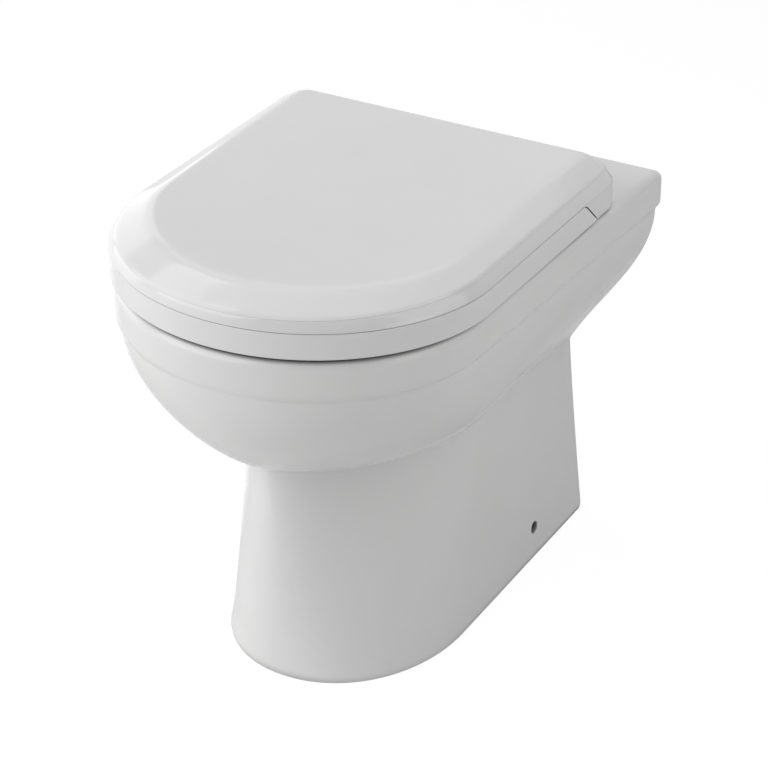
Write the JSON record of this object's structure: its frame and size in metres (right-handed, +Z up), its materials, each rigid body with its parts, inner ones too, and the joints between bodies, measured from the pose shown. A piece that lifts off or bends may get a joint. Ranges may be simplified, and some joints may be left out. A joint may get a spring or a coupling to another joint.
{
  "type": "back to wall toilet",
  "caption": "Back to wall toilet: glazed china pan with a box rim, bowl and moulded trapway, and a hinged soft close seat under an overhanging lid.",
  "frame": {"origin": "on the floor, in the middle of the toilet's width and depth", "axes": "+Z up, the front of the toilet faces -Y, the wall plane is at +Y, +X to the right of a person facing the wall"},
  "size_m": [0.368, 0.516, 0.4513],
  "materials": {
    "china": "gloss",
    "seat_plastic": "gloss",
    "buffer_rubber": "matte",
    "hinge_chrome": "polished",
    "pin_steel": "satin",
    "damper_plastic": "matte",
    "gasket_rubber": "matte",
    "bolt_steel": "satin",
    "nut_plastic": "matte",
    "bracket_steel": "galvanised"
  },
  "bodies": {
    "base": {"pan": "china", "hinge_pillar_left": "hinge_chrome", "hinge_pillar_right": "hinge_chrome", "hinge_base_left": "hinge_chrome", "hinge_base_right": "hinge_chrome", "hinge_pin_left": "pin_steel", "hinge_pin_right": "pin_steel", "pin_clips": "pin_steel", "deck_gaskets": "gasket_rubber", "fixing_bolt_left": "bolt_steel", "fixing_bolt_right": "bolt_steel", "fixing_sleeves": "gasket_rubber", "fixing_washers": "gasket_rubber", "wing_nuts": "nut_plastic", "floor_bracket_left": "bracket_steel", "floor_bracket_right": "bracket_steel", "side_screw_left": "bolt_steel", "side_screw_right": "bolt_steel", "side_sleeves": "gasket_rubber", "inlet_seal": "gasket_rubber"},
    "seat": {"seat_ring": "seat_plastic", "seat_buffers": "buffer_rubber", "seat_damper": "damper_plastic"},
    "cover": {"lid": "seat_plastic", "lid_buffers": "buffer_rubber", "lid_damper": "damper_plastic"}
  },
  "joints": [
    {"name": "seat_hinge", "type": "hinge", "parent": "base", "child": "seat", "pos_m": [0, 0.16, 0.433], "axis": [-1, 0, 0], "range_deg": [0, 92]},
    {"name": "lid_hinge", "type": "hinge", "parent": "seat", "child": "cover", "pos_m": [0, 0.16, 0.433], "axis": [-1, 0, 0], "range_deg": [0, 95]}
  ]
}
